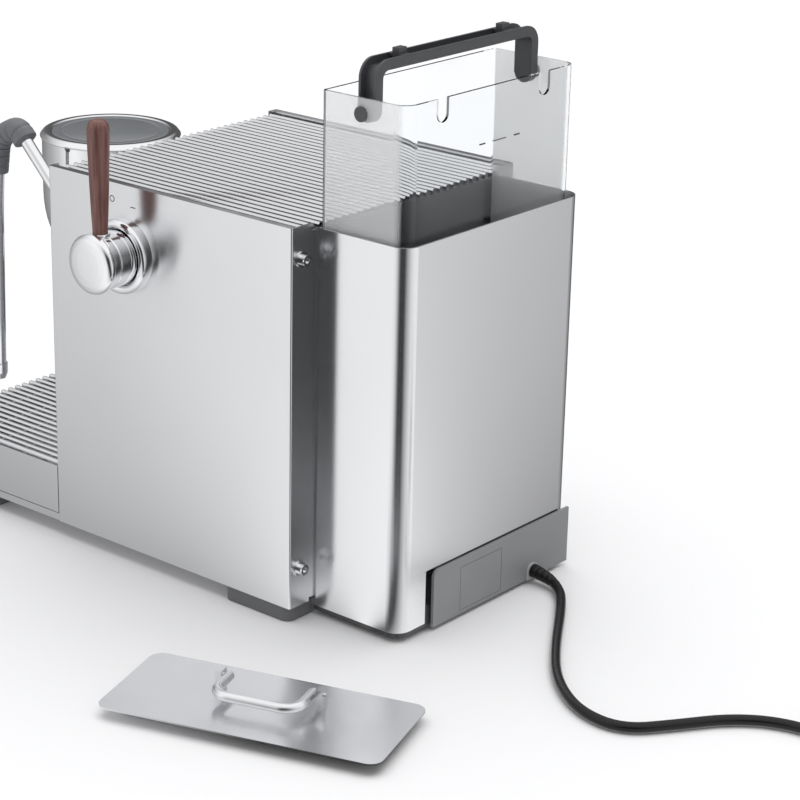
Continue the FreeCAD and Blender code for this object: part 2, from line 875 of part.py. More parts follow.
def knob_body():
    """Round hub on the valve spindle, with a socket for the stick."""
    body = new_body("knob_body")
    length = knob_front_x - knob_back_x
    rod(body, d.knob_radius, length, on_knob_axis(knob_back_x), ALONG_X)
    rod(body, d.spindle_radius, spindle_end - knob_back_x + 1, on_knob_axis(knob_back_x - 1), ALONG_X, cut=True)
    rod(body, d.stick_root, d.knob_radius, (stick_x, knob_y, knob_z + d.knob_radius - 11), cut=True)


knob_body()
turned("knob_cap", [
    (0, 0), (d.cap_radius - 0.6, 0), (d.cap_radius, 0.6), (d.cap_radius, d.cap_length - 4.5),
    (d.cap_radius - 1.2, d.cap_length - 2.2), (d.cap_radius - 4, d.cap_length - 0.8),
    (d.cap_radius - 9, d.cap_length - 0.2), (0, d.cap_length)],
    on_knob_axis(knob_front_x), ALONG_X)
turned("lever_stick", [
    (0, 0), (d.stick_root, 0), (d.stick_root, 14), (d.stick_radius - 1, d.stick_length * 0.62),
    (d.stick_radius, d.stick_length - 9), (d.stick_radius - 0.9, d.stick_length - 4),
    (d.stick_radius - 3.6, d.stick_length - 1), (0, d.stick_length)],
    (stick_x, knob_y, knob_z + d.knob_radius - 11))


valve_front = knob_y - 18


def steam_valve():
    """Valve block behind the side panel, bored for the spindle."""
    body = new_body("steam_valve")
    box(body, (inner - 39, inner - 8), (valve_front, knob_y + 18), (knob_z - 15, knob_z + 15))
    rod(body, 9, 7.9, on_knob_axis(inner - 8), ALONG_X)
    rod(body, d.spindle_radius + 0.05, 30, on_knob_axis(inner - 20), ALONG_X, cut=True)


def valve_spindle():
    """Shaft from the valve block out to the knob."""
    body = new_body("valve_spindle")
    start = inner - 19.8
    rod(body, d.spindle_radius, spindle_end - start, on_knob_axis(start), ALONG_X)


steam_valve()
valve_spindle()

# ---- brewing group -------------------------------------------------------------------------

group_at = (0, group_y, 0)
shell_top = group_top - 5
straight_low = shell_top - d.group_straight
bowl_low = straight_low - d.group_bowl
collar_top = bowl_low + 4
collar_low = collar_top - d.collar_height
neck_low = straight_low + 2
neck_top = shell_top - 8
core_r = group_radius - 13


def bowl_points(offset):
    """Quarter of an ellipse from the straight wall down to the mouth."""
    points = []
    for step in range(9):
        angle = math.radians(11.25 * step)
        across = (group_radius - group_mouth) * (1 - math.cos(angle))
        points.append((group_radius - across - offset, straight_low - d.group_bowl * math.sin(angle)))
    return points


def group_shell():
    """Chromed bell round the group, opened at the rear for the neck."""
    body = new_body("group_shell")
    wall = d.sheet_wall
    outer_line = bowl_points(0)
    inner_line = [(across, up) for across, up in reversed(bowl_points(wall))]
    turn_outline(body, [(group_radius, shell_top)] + outer_line + inner_line + [(group_radius - wall, shell_top)])
    box(body, (-30 - d.gap, 30 + d.gap), (group_radius - 25, group_radius + 5),
        (neck_low - d.gap, neck_top + d.gap), cut=True)
    body.Placement = Placement(Vector(*[float(v) for v in group_at]), UPRIGHT)


group_shell()
turned("group_bezel", [
    (group_radius - 10, 0), (group_radius + 1, 0), (group_radius + 1.5, 1), (group_radius - 1, 4.4),
    (group_radius - 3, 5), (group_radius - 8, 5), (group_radius - 8, 2), (group_radius - 10, 2)],
    (0, group_y, shell_top))
turned("group_glass", [
    (0, 0), (group_radius - 8.2, 0), (group_radius - 8.2, 2), (group_radius - 8.6, 2.4), (0, 2.4)],
    (0, group_y, shell_top + 2.1))


def group_core():
    """Cast brewing block inside the bell, with the neck that carries it from the front panel."""
    body = new_body("group_core")
    rod(body, core_r, shell_top - straight_low - 6, (0, 0, straight_low))
    rod(body, group_mouth - 5, straight_low - collar_top + 1, (0, 0, collar_top))
    rod(body, d.filter_radius - 3.3, 6, (0, 0, collar_top - 6))
    box(body, (-30, 30), (0, group_reach + d.sheet_wall), (neck_low, neck_top))
    rod(body, 3, group_reach, (0, 10, group_pipe_z), ALONG_Y, cut=True)
    body.Placement = Placement(Vector(*[float(v) for v in group_at]), UPRIGHT)


group_core()

lug_width = Size(16)
# The holder goes in with its handle 45 degrees short of straight ahead.
holder_turn = Rotation(Vector(0, 0, 1), -45)


def group_collar():
    """Bayonet ring: an inward lip with two gaps that let the lugs in."""
    body = new_body("group_collar")
    lip = Size(4.5)
    bore = collar_bore
    turn_outline(body, [
        (d.filter_radius + 3.9, collar_low), (collar_radius, collar_low), (collar_radius, collar_top),
        (bore, collar_top), (bore, collar_low + lip), (d.filter_radius + 3.9, collar_low + lip)])
    body.Placement = Placement(Vector(*[float(v) for v in group_at]), holder_turn)
    box(body, (-bore, bore), (-lug_width / 2 - 1, lug_width / 2 + 1), (collar_low - 1, collar_low + lip), cut=True)


group_collar()
turned("group_gasket", [
    (d.filter_radius - 1.3, collar_top - 8), (collar_bore - 0.2, collar_top - 8),
    (collar_bore - 0.2, collar_top), (d.filter_radius - 1.3, collar_top)],
    group_at)
turned("shower_screen", [
    (0, collar_top - 6), (d.filter_radius - 5.3, collar_top - 6), (d.filter_radius - 3.3, collar_top - 8.4),
    (d.filter_radius - 1.8, collar_top - 8.4), (d.filter_radius - 1.8, collar_top - 9.4), (5, collar_top - 8),
    (4, collar_top - 10), (0, collar_top - 10.4)],
    group_at)

# ---- filter holder, entered in the collar and not yet turned home --------------------------

holder_top = collar_top - 8 - d.gap - 0.9
holder_r = d.filter_radius + 3.4
cup_low = holder_top - 31
stub_radius = Size(7)
handle_z = collar_low - stub_radius - 0.8


def in_holder(body):
    body.Placement = Placement(Vector(*[float(v) for v in group_at]), holder_turn)


def filter_holder():
    """Round brass holder with two bayonet lugs and the stub for its handle."""
    body = new_body("filter_holder")
    turn_outline(body, [
        (0, cup_low), (d.filter_radius - 6, cup_low), (holder_r - 1, cup_low + 8), (holder_r, cup_low + 12),
        (holder_r, holder_top), (d.filter_radius + 0.8, holder_top), (d.filter_radius + 0.8, cup_low + 7),
        (5, cup_low + 4), (0, cup_low + 4)])
    stub = d.filter_radius + 20
    rod(body, stub_radius, stub - holder_r + 2, (0, -stub, handle_z), ALONG_Y)
    lug_low = collar_low + 4.9
    lug_z = (lug_low, lug_low + 4)
    for low, high in ((holder_r - 1.5, lug_reach), (-lug_reach, -holder_r + 1.5)):
        box(body, (low, high), (-lug_width / 2, lug_width / 2), lug_z)
    rod(body, 3, 6, (0, 0, cup_low - 1), cut=True)
    in_holder(body)
    return stub


stub_end = filter_holder()


def filter_basket():
    """Thin perforated cup with a rim that seals on the gasket."""
    body = new_body("filter_basket")
    low = cup_low + 8
    r = d.filter_radius
    turn_outline(body, [
        (0, low), (r - 2, low), (r, low + 3), (r, holder_top + 0.1), (r + 2.8, holder_top + 0.1),
        (r + 2.8, holder_top + 0.8), (r - 0.7, holder_top + 0.8), (r - 0.7, low + 3), (r - 2.4, low + 0.7),
        (0, low + 0.7)])
    in_holder(body)


filter_basket()


def double_spout():
    """Twin spout screwed under the holder."""
    body = new_body("double_spout")
    rod(body, 8, 8, (0, 0, cup_low - 8))
    box(body, (-17, 17), (-6.5, 6.5), (cup_low - 18, cup_low - 8))
    for x in (-13, 13):
        rod(body, 5, 14, (x, 0, cup_low - 30))
    rod(body, 3, 20, (0, 0, cup_low - 15), cut=True)
    for x in (-13, 13):
        rod(body, 3, 18, (x, 0, cup_low - 31), cut=True)
    in_holder(body)


double_spout()


def holder_handle():
    """Turned grip on the stub, its far end rounded."""
    grip = turned("holder_handle", [
        (0, 0), (9, 0), (9.5, 8), (d.handle_radius - 3.5, 30), (d.handle_radius, d.handle_length - 80),
        (d.handle_radius - 0.5, d.handle_length - 58), (d.handle_radius - 4, d.handle_length - 51),
        (0, d.handle_length - 48)])
    turn = holder_turn.multiply(Rotation(Vector(1, 0, 0), 90))
    start = holder_turn.multVec(Vector(0, -float(stub_end), 0))
    grip.Placement = Placement(start + Vector(0, float(group_y), float(handle_z)), turn)


holder_handle()

# ---- steam wand ----------------------------------------------------------------------------

pivot_y = front - 13
stub_r = Size(6)


def wand_socket():
    """Arm from the steam valve through the front panel, ending in the ring the wand swivels in."""
    body = new_body("wand_socket")
    x = wand_x
    rod(body, arm_r, cabin_front + 4 - pivot_y, (x, pivot_y, swivel_z), ALONG_Y)
    rod(body, 3, valve_front - pivot_y, (x, pivot_y, swivel_z), ALONG_Y)
    rod(body, 15, 3, (x, front_panel_y - 3, swivel_z), ALONG_Y)
    rod(body, stub_r + 4, 16, (x, pivot_y, swivel_z - 8))
    rod(body, stub_r + 0.05, 30, (x, pivot_y, swivel_z - 15), cut=True)


wand_socket()
wand_route = [
    (wand_x, pivot_y, swivel_z + 9),
    (wand_x, pivot_y, swivel_z + 26),
    (wand_x, pivot_y - 50, swivel_z + 76),
    (wand_x, pivot_y - 72, swivel_z + 66),
    (wand_x, pivot_y - 78, swivel_z + 16),
    (wand_x, pivot_y - 82, tray_rim + d.wire_dia + d.wand_height),
]


def wand_tube():
    """Bent tube with the swivel stub and its two collars."""
    tube = swept(wand_route, d.wand_dia / 2)[0]
    low = Vector(float(wand_x), float(pivot_y), float(swivel_z))
    stub = Part.makeCylinder(float(stub_r), 22, low - Vector(0, 0, 11))
    upper = Part.makeCylinder(float(stub_r) + 2.5, 3, low + Vector(0, 0, 8.3))
    lower = Part.makeCylinder(float(stub_r) + 2.5, 3, low - Vector(0, 0, 11.3))
    shaped("wand_tube", tube.fuse([stub, upper, lower]).removeSplitter())


def wand_grip():
    """Rubber sleeve over the bend of the wand, swept with the tube's own bends and cut square."""
    high = [Vector(*[float(v) for v in point]) for point in wand_route]
    way = (high[2] - high[1]).normalize()
    start = high[1] + (high[2] - high[1]) * 0.82
    far = high[2] - way * ((high[3] - high[2]).Length + 1)
    end = high[3] + (high[4] - high[3]) * 0.62
    sleeve = swept([far, high[2], high[3], end], d.grip_dia / 2)[0]
    spare = Part.makeCylinder(float(d.grip_dia), (start - far).Length + 1, far - way, way)
    tube = swept(wand_route, d.wand_dia / 2)[0]
    shaped("wand_grip", sleeve.cut(spare).cut(tube))


def wand_tip():
    """Screwed nozzle at the wand's end."""
    end = Vector(*[float(v) for v in wand_route[-1]])
    way = end - Vector(*[float(v) for v in wand_route[-2]])
    tip = turned("wand_tip", [(0, 0), (6.2, 0), (6.2, 8), (4.5, 13), (0, 15)])
    tip.Placement = Placement(end, Rotation(Vector(0, 0, 1), way))


wand_tube()
wand_grip()
wand_tip()

# ---- buttons -------------------------------------------------------------------------------


def button(label, z):
    """Round push button with a flange behind the panel that keeps it in."""
    body = new_body(label)
    rod(body, button_r, 7, (button_x, front_panel_y - 3, z), ALONG_Y)
    rod(body, button_r + 2, 1.8, (button_x, cabin_front + 0.2, z), ALONG_Y)


for button_label, button_z in zip(("brew_button", "power_button"), button_zs):
    button(button_label, button_z)


def switch_bracket():
    """Plate with two switches behind the buttons, on legs against the panel."""
    body = new_body("switch_bracket")
    low = button_zs[1] - 22
    high = button_zs[0] + 22
    plate_y = cabin_front + 8
    box(body, (button_x - 14, button_x + 14), (plate_y, plate_y + 3), (low, high))
    for z in (low, high - 3):
        box(body, (button_x - 14, button_x + 14), (cabin_front, plate_y), (z, z + 3))
    for z in button_zs:
        box(body, (button_x - 7, button_x + 7), (plate_y - 2.5, plate_y), (z - 5, z + 5))


switch_bracket()

# ---- inside the body -----------------------------------------------------------------------

boiler_x = -side + 76
boiler_y = front / 2 - 12
boiler_r = Size(45)
boiler_low = cabin_floor + 56
boiler_top = knob_z - 57
boss_r = Size(5)
inlet_z = boiler_low + 20
inlet_x = boiler_x + boiler_r + 8
pump_x = side - 66
pump_y = -60
pump_z = cabin_floor + 48
pump_r = Size(24)


def boiler():
    """Upright boiler with bosses for water in, steam out and brew water out."""
    body = new_body("boiler")
    turn_outline(body, [
        (0, boiler_low), (boiler_r - 6, boiler_low), (boiler_r, boiler_low + 6), (boiler_r, boiler_top - 6),
        (boiler_r - 6, boiler_top), (0, boiler_top)])
    rod(body, boss_r, 8, (0, 20, boiler_top))
    rod(body, boss_r, 8, (0, -25, boiler_top))
    rod(body, boss_r, 20, (boiler_r - 12, 0, inlet_z), ALONG_X)
    body.Placement = Placement(Vector(float(boiler_x), float(boiler_y), 0), UPRIGHT)


def boiler_stand():
    """Plate on four legs under the boiler."""
    body = new_body("boiler_stand")
    for x in (boiler_x - 40, boiler_x + 30):
        for y in (boiler_y - 40, boiler_y + 30):
            box(body, (x, x + 10), (y, y + 10), (cabin_floor, boiler_low - 3))
    box(body, (boiler_x - 42, boiler_x + 42), (boiler_y - 42, boiler_y + 42), (boiler_low - 3, boiler_low))


def pump():
    """Vibration pump lying front to rear, coil in the middle."""
    body = new_body("pump")
    rod(body, pump_r, 90, (pump_x, pump_y - 90, pump_z), ALONG_Y)
    box(body, (pump_x - 27, pump_x + 27), (pump_y - 66, pump_y - 26), (pump_z - 21, pump_z + 27))
    rod(body, hose_r, 10, (pump_x, pump_y, pump_z), ALONG_Y)
    rod(body, 3, 10, (pump_x, pump_y - 100, pump_z), ALONG_Y)


def pump_mounts():
    """Rubber blocks under both ends of the pump."""
    body = new_body("pump_mounts")
    for y in (pump_y - 88, pump_y - 18):
        box(body, (pump_x - 20, pump_x + 20), (y, y + 16), (cabin_floor, pump_z - pump_r / 2))
    rod(body, pump_r, 90, (pump_x, pump_y - 90, pump_z), ALONG_Y, cut=True)


def solenoid_valve():
    """Three-way valve on the back of the front panel, behind the group."""
    body = new_body("solenoid_valve")
    box(body, (-14, 14), (cabin_front, cabin_front + 24), (group_pipe_z - 14, group_pipe_z + 14))
    rod(body, 11, 34, (0, cabin_front + 12, group_pipe_z - 48))


def control_board():
    """Circuit board with its larger parts, on four spacers off the left panel."""
    body = new_body("control_board")
    board_x = -inner + 10
    box(body, (board_x, board_x + 1.6), (boiler_y - 60, boiler_y + 60), (boiler_low + 20, boiler_low + 140))
    part_x = board_x + 1.6
    for y, z, width, height, tall in ((-50, 30, 26, 18, 9), (-10, 30, 20, 20, 8), (20, 40, 30, 30, 6),
                                      (-40, 90, 14, 30, 9), (10, 100, 40, 12, 7)):
        box(body, (part_x, part_x + tall), (boiler_y + y, boiler_y + y + width),
            (boiler_low + z, boiler_low + z + height))
    for y in (boiler_y - 54, boiler_y + 54):
        for z in (boiler_low + 26, boiler_low + 134):
            rod(body, 3, 10, (-inner, y, z), ALONG_X)


boiler()
boiler_stand()
pump()
pump_mounts()
solenoid_valve()
control_board()


def pipe(label, points, radius, bend):
    shaped(label, swept(points, radius, bend)[0])


pipe("suction_hose", [
    (dock_x, spout_y, hose_z), (dock_x, cabin_rear - 14, hose_z),
    (pump_x, pump_y + 26, pump_z), (pump_x, pump_y + 10, pump_z)], hose_r, 16)
pipe("feed_pipe", [
    (pump_x, pump_y - 100, pump_z), (pump_x, pump_y - 122, pump_z), (pump_x - 30, pump_y - 130, inlet_z),
    (inlet_x + 22, boiler_y, inlet_z), (inlet_x, boiler_y, inlet_z)], 3, 12)
pipe("steam_pipe", [
    (boiler_x, boiler_y + 20, boiler_top + 8), (boiler_x, boiler_y + 20, knob_z),
    (inner - 70, knob_y, knob_z), (inner - 39, knob_y, knob_z)], 3, 16)
pipe("brew_pipe", [
    (boiler_x, boiler_y - 25, boiler_top + 8), (boiler_x, boiler_y - 25, group_pipe_z),
    (0, cabin_front + 44, group_pipe_z), (0, cabin_front + 24, group_pipe_z)], 3, 16)

# ---- mains lead ----------------------------------------------------------------------------

cord_r = d.cord_dia / 2
# Chosen by hand, from the gland over the table to the coil.
CORD_ROUTE = [
    (-57, 89.9, 10),
    (-57, 109.5, 7.6),
    (-48.5, 131, 4.6),
    (-33, 146.5, 4),
    (50, 192, 4),
    (88, 221, 4),
    (111, 257, 4),
    (106, 293, 4),
    (77, 317, 4),
    (43, 338, 4),
    (23, 368, 4),
    (18, 408, 4),
]
COIL_MIDDLE = (-30, 430)
PLUG_AT = (-74, 474, 14)


def mains_lead():
    """Lead over the table, its coil, and the plug beside the coil."""
    tube, path, radii = swept(CORD_ROUTE, cord_r)
    print("lead: %.0f mm along the table, bend radii" % path.Length, [round(r) for r in radii])
    shaped("cord_tube", tube)
    turned("cord_coil", [
        (d.coil_radius - d.cord_dia, 0), (d.coil_radius + d.cord_dia, 0),
        (d.coil_radius + d.cord_dia, d.cord_dia), (d.coil_radius + cord_r, d.coil_height),
        (d.coil_radius - cord_r, d.coil_height), (d.coil_radius - d.cord_dia, d.cord_dia)],
        (COIL_MIDDLE[0], COIL_MIDDLE[1], 0))
    plug = new_body("mains_plug")
    rod(plug, d.plug_radius, d.plug_length, (-d.plug_length, 0, 0), ALONG_X)
    rod(plug, 6, 14, (-2, 0, 0), ALONG_X)
    for y in (-9.5, 9.5):
        rod(plug, 2.4, 21, (-d.plug_length - 19, y, 0), ALONG_X)
    plug.Placement = Placement(Vector(*PLUG_AT), UPRIGHT)


mains_lead()

# ---- check, set the origin and write -------------------------------------------------------

doc.recompute()
for obj in doc.Objects:
    if "Invalid" in obj.State or "Error" in obj.State:
        raise RuntimeError("failed: %s %s" % (obj.Label, obj.State))
for node in nodes:
    if node.Shape.isNull() or not node.Shape.isValid():
        raise RuntimeError("bad shape: " + node.Label)

# The lead's own pieces don't count towards the middle of the object.
LEAD = ("cord_tube", "cord_coil", "mains_plug")
whole = FreeCAD.BoundBox()
for node in nodes:
    if node.Label not in LEAD:
        whole.add(node.Shape.BoundBox)
shift = Vector(-whole.Center.x, -whole.Center.y, -whole.ZMin)
for node in nodes:
    node.Placement = Placement(shift, UPRIGHT).multiply(node.Placement)
doc.recompute()

os.makedirs("parts", exist_ok=True)
for node in nodes:
    node.Shape.exportStep("parts/%s.step" % node.Label)
print("%d pieces, origin moved by %.3f %.3f %.3f" % (len(nodes), shift.x, shift.y, shift.z))
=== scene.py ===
import bmesh
import bpy
import json
import math
import numpy as np
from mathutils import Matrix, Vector


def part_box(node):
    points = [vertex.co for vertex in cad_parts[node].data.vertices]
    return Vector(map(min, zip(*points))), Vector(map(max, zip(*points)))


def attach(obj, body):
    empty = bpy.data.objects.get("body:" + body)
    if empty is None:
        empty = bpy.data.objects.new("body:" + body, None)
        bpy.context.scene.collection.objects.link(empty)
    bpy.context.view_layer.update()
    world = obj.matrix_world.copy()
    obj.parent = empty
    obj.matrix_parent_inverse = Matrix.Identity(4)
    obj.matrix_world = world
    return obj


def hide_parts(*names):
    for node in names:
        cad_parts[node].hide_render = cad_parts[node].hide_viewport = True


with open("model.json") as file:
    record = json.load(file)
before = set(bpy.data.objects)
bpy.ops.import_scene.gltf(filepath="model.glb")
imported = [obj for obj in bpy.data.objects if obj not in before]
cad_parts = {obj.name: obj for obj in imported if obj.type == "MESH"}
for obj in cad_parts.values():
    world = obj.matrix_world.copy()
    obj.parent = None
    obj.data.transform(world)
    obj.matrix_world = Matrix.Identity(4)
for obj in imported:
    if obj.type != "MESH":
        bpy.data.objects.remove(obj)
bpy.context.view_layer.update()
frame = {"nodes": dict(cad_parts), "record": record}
scene = bpy.context.scene

# Pieces are worked out in millimetres from the middle of the body's rear edge, as the parts are.
rearLow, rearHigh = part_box("rear_panel")
datum = np.array([(rearLow.x + rearHigh.x) / 2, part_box("side_panel_right")[1].y, 0.0])


def toFrame(points):
    return np.asarray(points, float) / 1000 + datum


cameraSet = {
    "place": (1389.54, 1135.38, 806.98), "yaw": 3.8282, "pitch": -0.3528, "roll": 0.0225, "lens": 110.6,
}


def makeCamera(values):
    yaw, pitch, roll = values["yaw"], values["pitch"], values["roll"]
    look = Vector((math.cos(pitch) * math.cos(yaw), math.cos(pitch) * math.sin(yaw), math.sin(pitch)))
    right = look.cross(Vector((0, 0, 1))).normalized()
    up = right.cross(look)
    turnedRight = right * math.cos(roll) + up * math.sin(roll)
    turnedUp = up * math.cos(roll) - right * math.sin(roll)
    camera = bpy.data.objects.new("camera", bpy.data.cameras.new("camera"))
    camera.data.lens = values["lens"]
    camera.data.clip_end = 50
    scene.collection.objects.link(camera)
    matrix = camera.matrix_world.copy()
    for row in range(3):
        matrix[row][0], matrix[row][1], matrix[row][2] = turnedRight[row], turnedUp[row], -look[row]
        matrix[row][3] = toFrame(values["place"])[row]
    camera.matrix_world = matrix
    scene.camera = camera


makeCamera(cameraSet)
print("camera set")


class Surface:
    # a material under construction, with patterns read from Object coordinates
    def __init__(self, name, color, roughness, metallic=0.0, **sockets):
        self.material = bpy.data.materials.new(name)
        self.material.use_nodes = True
        self.tree = self.material.node_tree
        self.shader = self.tree.nodes["Principled BSDF"]
        self.shader.inputs["Base Color"].default_value = (*color, 1)
        self.shader.inputs["Roughness"].default_value = roughness
        self.shader.inputs["Metallic"].default_value = metallic
        for socket, value in sockets.items():
            self.shader.inputs[socket.replace("_", " ")].default_value = value
        self.color = color
        self.roughness = roughness

    def node(self, kind, **values):
        made = self.tree.nodes.new(kind)
        for key, value in values.items():
            setattr(made, key, value)
        return made

    def join(self, source, target):
        self.tree.links.new(source, target)

    def noise(self, scale, detail=3.0, stretch=(1, 1, 1)):
        # noise over the object, stretched along its axes
        coords = self.node("ShaderNodeTexCoord")
        mapping = self.node("ShaderNodeMapping")
        mapping.inputs["Scale"].default_value = stretch
        self.join(coords.outputs["Object"], mapping.inputs["Vector"])
        noise = self.node("ShaderNodeTexNoise")
        noise.inputs["Scale"].default_value = scale
        noise.inputs["Detail"].default_value = detail
        self.join(mapping.outputs["Vector"], noise.inputs["Vector"])
        return noise.outputs["Fac"]

    def tint(self, factor, low, high, start=0.3, end=0.7):
        ramp = self.node("ShaderNodeValToRGB")
        ramp.color_ramp.elements[0].position = start
        ramp.color_ramp.elements[1].position = end
        ramp.color_ramp.elements[0].color = (*low, 1)
        ramp.color_ramp.elements[1].color = (*high, 1)
        self.join(factor, ramp.inputs["Fac"])
        self.join(ramp.outputs["Color"], self.shader.inputs["Base Color"])

    def shade(self, factor, amount):
        # lighter and darker by a share of the colour
        low = tuple(c * (1 - amount) for c in self.color)
        high = tuple(min(1.0, c * (1 + amount)) for c in self.color)
        self.tint(factor, low, high)

    def rough(self, factor, spread):
        ranged = self.node("ShaderNodeMapRange")
        ranged.inputs["From Min"].default_value = 0.3
        ranged.inputs["From Max"].default_value = 0.7
        ranged.inputs["To Min"].default_value = max(0.0, self.roughness - spread)
        ranged.inputs["To Max"].default_value = self.roughness + spread
        self.join(factor, ranged.inputs["Value"])
        self.join(ranged.outputs["Result"], self.shader.inputs["Roughness"])

    def bump(self, factor, strength, distance):
        bump = self.node("ShaderNodeBump")
        bump.inputs["Strength"].default_value = strength
        bump.inputs["Distance"].default_value = distance
        self.join(factor, bump.inputs["Height"])
        self.join(bump.outputs["Normal"], self.shader.inputs["Normal"])


def brushedSteel(name, color, roughness, grain, along=(1, 1, 60)):
    # fine level grain: reflections stay sharp sideways and stretch up and down
    made = Surface(name, color, roughness, 1.0, Anisotropic=0.85, Anisotropic_Rotation=0.25)
    fine = made.noise(42, 4, along)
    made.rough(fine, 0.03)
    made.bump(fine, grain, 0.0004)
    made.shade(made.noise(6, 2), 0.025)
    tangent = made.node("ShaderNodeTangent", direction_type="RADIAL", axis="Z")
    made.join(tangent.outputs["Tangent"], made.shader.inputs["Tangent"])
    return made.material


def polishedMetal(name, color, roughness):
    # mirror polish with faint wipe marks
    made = Surface(name, color, roughness, 1.0)
    made.rough(made.noise(35, 5), 0.02)
    made.shade(made.noise(9, 2), 0.02)
    made.bump(made.noise(420, 2), 0.015, 0.0002)
    return made.material


def moulded(name, color, roughness, grainSize=900, grain=0.12, **sockets):
    # moulded plastic or rubber with a spark-eroded grain
    made = Surface(name, color, roughness, 0.0, **sockets)
    made.shade(made.noise(14, 3), 0.06)
    made.rough(made.noise(60, 3), 0.05)
    made.bump(made.noise(grainSize, 2), grain, 0.0002)
    return made.material


def oiledWood(name, dark, light, evenly=None):
    # long grain along Z, or an even figure, with finer pores over it
    made = Surface(name, light, 0.38, 0.0, Coat_Weight=0.12, Coat_Roughness=0.25)
    made.tint(made.noise(30, 6, evenly or (16, 16, 0.9)), dark, light, 0.32, 0.66)
    made.rough(made.noise(60, 4, (14, 14, 1)), 0.07)
    made.bump(made.noise(90, 5, (12, 12, 0.6)), 0.12, 0.0003)
    return made.material


def clearPlastic(name):
    # clear moulding; its two side walls get a painted white veil, mixed in by which way they face
    made = Surface(name, (0.97, 0.98, 0.985), 0.03, 0.0, Transmission_Weight=1.0, IOR=1.2)
    made.rough(made.noise(25, 3), 0.012)
    made.bump(made.noise(16, 2), 0.02, 0.0006)
    # painted veil: a pale opaque surface mixed over the walls that face along X
    paintedVeil = made.node("ShaderNodeBsdfPrincipled")
    paintedVeil.inputs["Base Color"].default_value = (0.95, 0.955, 0.96, 1)
    paintedVeil.inputs["Roughness"].default_value = 0.25
    geometry = made.node("ShaderNodeNewGeometry")
    parts = made.node("ShaderNodeSeparateXYZ")
    made.join(geometry.outputs["Normal"], parts.inputs["Vector"])
    size = made.node("ShaderNodeMath", operation="ABSOLUTE")
    made.join(parts.outputs["X"], size.inputs[0])
    ranged = made.node("ShaderNodeMapRange")
    ranged.inputs["From Min"].default_value = 0.8
    ranged.inputs["From Max"].default_value = 1.0
    ranged.inputs["To Max"].default_value = 0.38
    made.join(size.outputs[0], ranged.inputs["Value"])
    mix = made.node("ShaderNodeMixShader")
    made.join(ranged.outputs["Result"], mix.inputs["Fac"])
    made.join(made.shader.outputs["BSDF"], mix.inputs[1])
    made.join(paintedVeil.outputs["BSDF"], mix.inputs[2])
    made.join(mix.outputs["Shader"], made.tree.nodes["Material Output"].inputs["Surface"])
    return made.material


finish = {
    "stainless_sheet": brushedSteel("brushed sheet", (0.78, 0.785, 0.80), 0.24, 0.05),
    "stainless_polished": brushedSteel("brushed wrap", (0.80, 0.805, 0.82), 0.21, 0.035),
    "chromed": polishedMetal("bright chrome", (0.83, 0.835, 0.85), 0.05),
    "steel_wire": polishedMetal("drawn wire", (0.70, 0.705, 0.72), 0.16),
    "clear_tank": clearPlastic("clear tank"),
    "brewing_brass": polishedMetal("machined brass", (0.78, 0.62, 0.34), 0.22),
    "copper_pipe": polishedMetal("drawn copper", (0.80, 0.45, 0.32), 0.2),
    "boiler_metal": polishedMetal("cast boiler", (0.62, 0.62, 0.63), 0.4),
    "wood_grip": oiledWood("oiled wood", (0.115, 0.043, 0.034), (0.215, 0.098, 0.080)),
    "dark_grey_plastic": moulded("dark grey moulding", (0.060, 0.062, 0.068), 0.34),
    "foot_grey": moulded("grey foot", (0.13, 0.132, 0.14), 0.5),
    "cover_grey": moulded("grey cover", (0.27, 0.275, 0.285), 0.42),
    "gland_grey": moulded("light grey collar", (0.50, 0.50, 0.51), 0.4),
    "grey_rubber": moulded("ribbed rubber", (0.15, 0.155, 0.168), 0.5, 700, 0.2),
    "black_rubber": moulded("black rubber", (0.02, 0.02, 0.02), 0.6, 600, 0.2),
    "lead_black": moulded("lead sheath", (0.006, 0.006, 0.0065), 0.24, 1200, 0.04, Specular_IOR_Level=0.35),
    "hose_clear": moulded("milky hose", (0.70, 0.70, 0.67), 0.3, 500, 0.05),
    "board_green": moulded("circuit board", (0.03, 0.16, 0.06), 0.4),
    "button_steel": polishedMetal("button steel", (0.8, 0.8, 0.82), 0.12),
}


def smokedGlass(name):
    made = Surface(name, (0.19, 0.20, 0.215), 0.07, 0.0, Coat_Weight=0.6, Coat_Roughness=0.03)
    made.shade(made.noise(18, 3), 0.06)
    made.rough(made.noise(40, 3), 0.02)
    return made.material


finish["grey_glass"] = smokedGlass("smoked glass")
# the pan under the cup grille is coloured near black: painted shade, for the dark gaps between the wires
paintedShadePan = moulded("shadowed pan steel", (0.045, 0.046, 0.05), 0.45, 900, 0.05, Metallic=0.6)
slotOf = {part["node"]: part["material_slot"] for part in frame["record"]["subparts"]}
for nodeName, node in frame["nodes"].items():
    node.data.materials.clear()
    node.data.materials.append(paintedShadePan if nodeName == "top_pan" else finish[slotOf[nodeName]])
print("finishes on", len(frame["nodes"]), "parts")


def gridFaces(rows, columns, closedRows=False):
    # quads between neighbouring grid points round closed rings, and one polygon over each open end
    index = np.arange(rows * columns).reshape(rows, columns)
    below = np.roll(index, -1, 0)
    quads = np.stack([index, np.roll(index, -1, 1), np.roll(below, -1, 1), below], -1)
    if closedRows:
        return quads.reshape(-1, 4).tolist()
    return quads[:-1].reshape(-1, 4).tolist() + [index[0].tolist(), index[-1].tolist()]


def joinShells(shells):
    # several (points, faces) shells as one
    points = np.concatenate([shell[0].reshape(-1, 3) for shell in shells])
    starts = np.cumsum([0] + [shell[0].reshape(-1, 3).shape[0] for shell in shells])
    faces = []
    for start, shell in zip(starts, shells):
        faces += [[corner + int(start) for corner in face] for face in shell[1]]
    return points, faces


